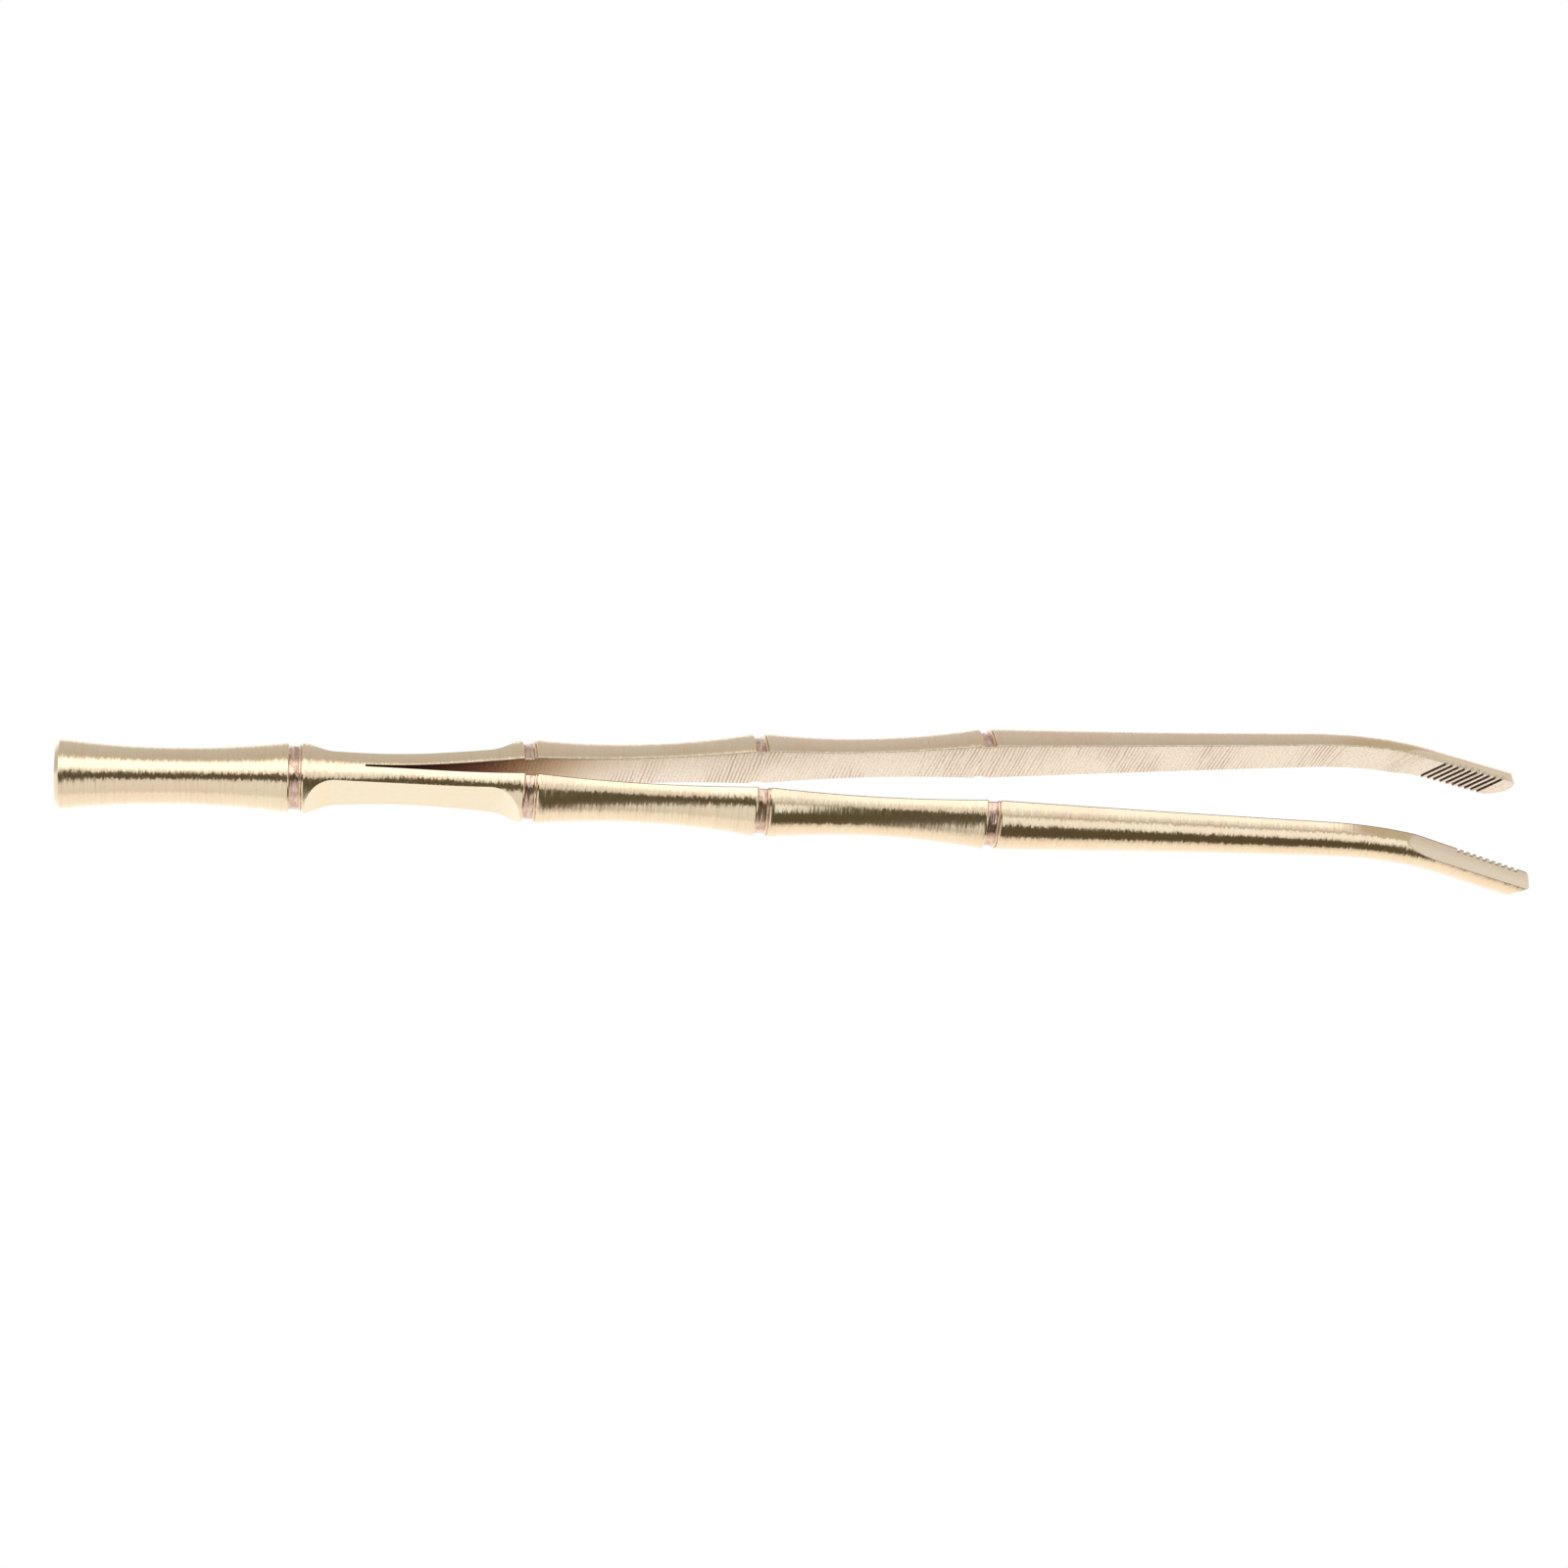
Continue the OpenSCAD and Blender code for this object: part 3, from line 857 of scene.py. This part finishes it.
def lower_flat(before_end):
    """Depth of the lower side flat's run-out below the arm's axis."""
    centre = BEND_R - HALF_TIP_W - SIDE_R
    inside = SIDE_R**2 - (centre * math.sin(before_end)) ** 2
    if inside <= 0:
        return NO_LIMIT
    return BEND_R - centre * math.cos(before_end) - math.sqrt(inside)


def make_bend(side):
    angles = [BEND_ANGLE * i / 60 for i in range(61)]
    sections, alongs = [], []
    for angle in angles:
        before_end = BEND_ANGLE - angle
        r = BEND_START_R + (BEND_END_R - BEND_START_R) * angle / BEND_ANGLE
        up, down = upper_flat(before_end), lower_flat(before_end)
        sections.append(Section(r, up=up, down=down, tilt=SIDE_TILT[side]))
        alongs.append(groove_4[0] + FRONT_L + BEND_R * angle)
    places = on_side(side, [bend_place(angle) for angle in angles])
    # The right arm's creases get a painted shade line
    crease = crease_shade if side == "right" else polished
    materials = {**arm_materials(side), "wall": ground, "crease": crease}

    def kind(index, row):
        found = half_kind(index)
        if found in ("wall", "crease") and not sections[row].is_cut(index):
            return "round"
        return found

    outlines = [section.ring() for section in sections]
    piece = loft(side + "_curve", outlines, places, alongs, kind, materials)
    finish_piece(piece, side + "_bend", side + "_arm")


def tooth_marks():
    """(place, depth) down and up again across every cross groove."""
    marks = []
    half_w = TOOTH_W / 2
    for i in range(TEETH):
        centre = TOOTH_START + i * TOOTH_PITCH
        marks.append((centre - half_w, 0.0))
        marks.append((centre - half_w + TOOTH_SLOPE, TOOTH_DEPTH))
        marks.append((centre, TOOTH_DEPTH))
        marks.append((centre + half_w - TOOTH_SLOPE, TOOTH_DEPTH))
        marks.append((centre + half_w, 0.0))
    return marks


def make_tip(side):
    round_x = TIP_L - HALF_TIP_W
    nose_x = TIP_L - NOSE_R
    tip_t = TIP_END_R - HALF_KERF
    marks = [(0.0, 0.0)] + tooth_marks()
    last_tooth = marks[-1][0]
    marks += [(u, 0.0) for u in steps(last_tooth, round_x, 0.25)[1:]]
    for i in range(1, 25):
        turn = math.pi / 2 * i / 24
        marks.append((round_x + HALF_TIP_W * math.sin(turn), 0.0))
    outlines = []
    for u, floor in marks:
        r = BEND_END_R + (TIP_END_R - BEND_END_R) * u / TIP_L
        end, back = NO_LIMIT, NO_LIMIT
        if u > round_x:
            end = math.sqrt(max(0.0, HALF_TIP_W**2 - (u - round_x) ** 2))
        if u > nose_x:
            back = tip_t - NOSE_R + math.sqrt(max(0.0, NOSE_R**2 - (u - nose_x) ** 2))
        section = Section(
            r, back=back, up=HALF_TIP_W, down=HALF_TIP_W, tilt=SIDE_TILT[side], end=end, floor=floor
        )
        outlines.append(section.ring())
    slants = []
    for u, _ in marks:
        into = min(1.0, u / (TOOTH_START - TOOTH_W / 2))
        reach = min(1.0, max(0.0, (u - last_tooth) / (round_x - last_tooth)))
        slants.append((TOOTH_SLANT * into + (END_SLANT - TOOTH_SLANT) * reach, reach))
    places = on_side(side, [tip_place(u) for u, _ in marks])
    start = groove_4[0] + FRONT_L + BEND_R * BEND_ANGLE
    alongs = [start + u for u, _ in marks]

    def kind(index, row):
        found = half_kind(index)
        sunk = marks[row][1] > 0 or marks[row + 1][1] > 0
        return "floor" if found == "flat" and sunk else found

    # The right arm's creases get a painted shade line
    crease = crease_shade if side == "right" else polished
    materials = {**arm_materials(side), "wall": ground, "crease": crease, "floor": tooth_floor_shade}
    piece = loft(side + "_tip", outlines, places, alongs, kind, materials, True, slants)
    finish_piece(piece, side + "_serrated_tip", side + "_arm")


make_butt_segment()
make_butt_neck()
make_fork_root()
for arm_side in ("left", "right"):
    make_leaf(arm_side)
    make_neck(arm_side, "rear", groove_2, LEAF_ANGLE, REAR_ANGLE)
    make_segment(arm_side, "rear", groove_2, REAR_ANGLE)
    make_neck(arm_side, "middle", groove_3, REAR_ANGLE, MIDDLE_ANGLE)
    make_segment(arm_side, "middle", groove_3, MIDDLE_ANGLE)
    make_neck(arm_side, "front", groove_4, MIDDLE_ANGLE, FRONT_ANGLE)
    make_front(arm_side)
    make_bend(arm_side)
    make_tip(arm_side)

# ---- floor, backdrop, light and camera ----

STAGE_R = 3.0


def emission_material(name, strength):
    material = bpy.data.materials.new(name)
    material.use_nodes = True
    nodes = Nodes(material.node_tree)
    glow = nodes.add("ShaderNodeEmission", {"Color": (1, 1, 1, 1), "Strength": strength})
    nodes.add("ShaderNodeOutputMaterial", {"Surface": glow.outputs[0]})
    return material


def seen_only_directly(obj):
    """The piece shows, but the light tent alone lights the tongs."""
    obj.visible_diffuse = False
    obj.visible_glossy = False
    obj.visible_transmission = False
    obj.visible_shadow = False


def make_stage():
    white = emission_material("white_studio", 1.0)
    bpy.ops.mesh.primitive_plane_add(size=2 * STAGE_R, location=(0, 0, -0.0002))
    floor = bpy.context.active_object
    floor.name = "floor"
    floor.data.materials.append(white)
    seen_only_directly(floor)
    bpy.ops.mesh.primitive_uv_sphere_add(radius=STAGE_R, segments=48, ring_count=24)
    tent = bpy.context.active_object
    tent.name = "backdrop"
    tent.data.materials.append(white)
    seen_only_directly(tent)


def grey(level, warm=0.0):
    """A light colour: its level, and how far its green and blue fall behind its red."""
    return (level, level * (1 - 0.5 * warm), level * (1 - warm), 1)


# Light round the rod, by angle in degrees from straight up towards the front (-Y).
# The first list is for the part of the tent over the butt, the second for the part beyond.
LIGHT_AT_BUTT = [
    (-180, grey(1.2)),
    (-128, grey(1.15)),
    (-112, grey(0.86)),
    (-104, grey(0.63, 0.05)),
    (-42, grey(0.57, 0.14)),
    (-36, grey(0.70, 0.2)),
    (-30, grey(1.3, 0.1)),
    (-24, grey(1.5)),
    (-2, grey(1.5)),
    (8, grey(1.0, 0.1)),
    (18, grey(0.82, 0.1)),
    (60, grey(0.84, 0.06)),
    (92, grey(0.80, 0.09)),
    (103, grey(1.0, 0.08)),
    (140, grey(1.04, 0.04)),
    (180, grey(1.15)),
]
LIGHT_AT_TIPS = [
    (-180, grey(1.1)),
    (-125, grey(1.1)),
    (-112, (0.76, 0.70, 0.76, 1)),
    (-104, (0.67, 0.62, 0.63, 1)),
    (-60, (0.61, 0.56, 0.56, 1)),
    (-26, (0.52, 0.48, 0.43, 1)),
    (-17, grey(1.25)),
    (3, grey(1.2)),
    (14, grey(0.86)),
    (23, grey(0.78, 0.1)),
    (26, grey(0.48, 0.2)),
    (30, grey(0.52, 0.2)),
    (33, grey(0.95)),
    (37, grey(1.05)),
    (53, grey(1.05)),
    (62, grey(0.75, 0.1)),
    (96, grey(0.3, 0.2)),
    (108, grey(0.74, 0.18)),
    (122, grey(1.03, 0.16)),
    (145, grey(1.09, 0.12)),
    (180, grey(1.1)),
]
BEYOND_TIPS = (0.55, 0.49, 0.39, 1)
FAR_END = (0.86, 0.82, 0.80, 1)
# Where the dark front of the tent starts and ends, in degrees, by place along it in millimetres
DARK_FROM = [(-140, 15), (-60, 15), (-40, 23), (-13, 26), (48, 30), (66, 56), (103, 63), (150, 67)]
DARK_TO = [(-140, 38), (-62, 42), (-45, 52), (-19, 66), (8, 82), (31, 97), (50, 102), (150, 104)]
DARK = (0.10, 0.08, 0.045, 1)
DARK_EDGE = 3.0
TENT_R = 0.3


def turned_share(angle):
    return (angle + 180) / 360


def angle_curve(nodes, x, points):
    """Degrees read off a curve through (millimetres, degrees) points."""
    low, high = points[0][0], points[-1][0]
    share = nodes.span(x, low, high)
    stops = [((at - low) / (high - low), (a / 180, a / 180, a / 180, 1)) for at, a in points]
    return nodes.math("MULTIPLY", nodes.ramp(share, stops), 180.0)


def tent_material():
    """The light that the tent sends in, by place along the rod and by angle round it."""
    material = bpy.data.materials.new("tent_light")
    material.use_nodes = True
    nodes = Nodes(material.node_tree)
    place = nodes.add("ShaderNodeNewGeometry").outputs["Position"]
    split = nodes.add("ShaderNodeSeparateXYZ", {0: place})
    front = nodes.math("MULTIPLY", split.outputs[1], -1.0)
    turn = nodes.math("DEGREES", nodes.math("ARCTAN2", front, split.outputs[2]))
    share = nodes.span(turn, -180, 180)
    x = nodes.math("DIVIDE", split.outputs[0], MM)
    at_butt = nodes.ramp(share, [(turned_share(a), c) for a, c in LIGHT_AT_BUTT])
    at_tips = nodes.ramp(share, [(turned_share(a), c) for a, c in LIGHT_AT_TIPS])
    light = nodes.mix(nodes.span(x, -40, 50, smooth=True), at_butt, at_tips)
    # The light overhead stops short of the light at the front
    stop = nodes.span(turn, 10, 40, 140, 228, smooth=True)
    past_stop = nodes.span(nodes.math("SUBTRACT", x, stop), 0, 50, smooth=True)
    overhead = nodes.span(nodes.math("ABSOLUTE", turn), 85, 115, 1.0, 0.0)
    light = nodes.mix(nodes.math("MULTIPLY", past_stop, overhead), light, BEYOND_TIPS)
    light = nodes.mix(nodes.span(x, 262, 290, smooth=True), light, FAR_END)
    dark_from = angle_curve(nodes, x, DARK_FROM)
    dark_to = angle_curve(nodes, x, DARK_TO)
    past_start = nodes.span(nodes.math("SUBTRACT", turn, dark_from), -DARK_EDGE, DARK_EDGE, smooth=True)
    past_end = nodes.span(nodes.math("SUBTRACT", turn, dark_to), -DARK_EDGE, DARK_EDGE, smooth=True)
    in_dark = nodes.math("SUBTRACT", past_start, past_end, clamp=True)
    in_dark = nodes.math("MULTIPLY", in_dark, nodes.span(x, 215, 245, 1.0, 0.0))
    glow = nodes.add("ShaderNodeEmission", {"Color": nodes.mix(in_dark, light, DARK), "Strength": 1.0})
    nodes.add("ShaderNodeOutputMaterial", {"Surface": glow.outputs[0]})
    return material


def make_tent():
    """Soft light all round the tongs, which the camera looks through."""
    bpy.ops.mesh.primitive_uv_sphere_add(radius=TENT_R, segments=128, ring_count=64)
    tent = bpy.context.active_object
    tent.name = "light_tent"
    tent.data.materials.append(tent_material())
    tent.visible_camera = False
    world = bpy.data.worlds.new("studio")
    bpy.context.scene.world = world
    world.use_nodes = True
    nodes = Nodes(world.node_tree)
    background = nodes.add("ShaderNodeBackground", {"Color": (0, 0, 0, 1), "Strength": 0.0})
    nodes.add("ShaderNodeOutputWorld", {"Surface": background.outputs[0]})


CAMERA_AIM = Vector((-0.00437, -0.00022, 0.00829))
CAMERA_DISTANCE = 0.39768
CAMERA_AZIMUTH = math.radians(-19.66)
CAMERA_ELEVATION = math.radians(61.35)
CAMERA_ROLL = math.radians(19.46)
CAMERA_LENS = 79.64
CAMERA_SENSOR = 36.0


def make_camera():
    data = bpy.data.cameras.new("camera")
    data.lens = CAMERA_LENS
    data.sensor_width = CAMERA_SENSOR
    data.clip_start = 0.01
    data.clip_end = 20.0
    camera = bpy.data.objects.new("camera", data)
    bpy.context.scene.collection.objects.link(camera)
    level = math.cos(CAMERA_ELEVATION)
    back = Vector(
        (math.sin(CAMERA_AZIMUTH) * level, -math.cos(CAMERA_AZIMUTH) * level, math.sin(CAMERA_ELEVATION))
    )
    camera.location = CAMERA_AIM + back * CAMERA_DISTANCE
    camera.rotation_mode = "QUATERNION"
    facing = (-back).to_track_quat("-Z", "Y")
    camera.rotation_quaternion = facing @ Matrix.Rotation(CAMERA_ROLL, 3, "Z").to_quaternion()
    bpy.context.scene.camera = camera


make_stage()
make_tent()
make_camera()
bpy.context.scene.view_settings.view_transform = "Standard"
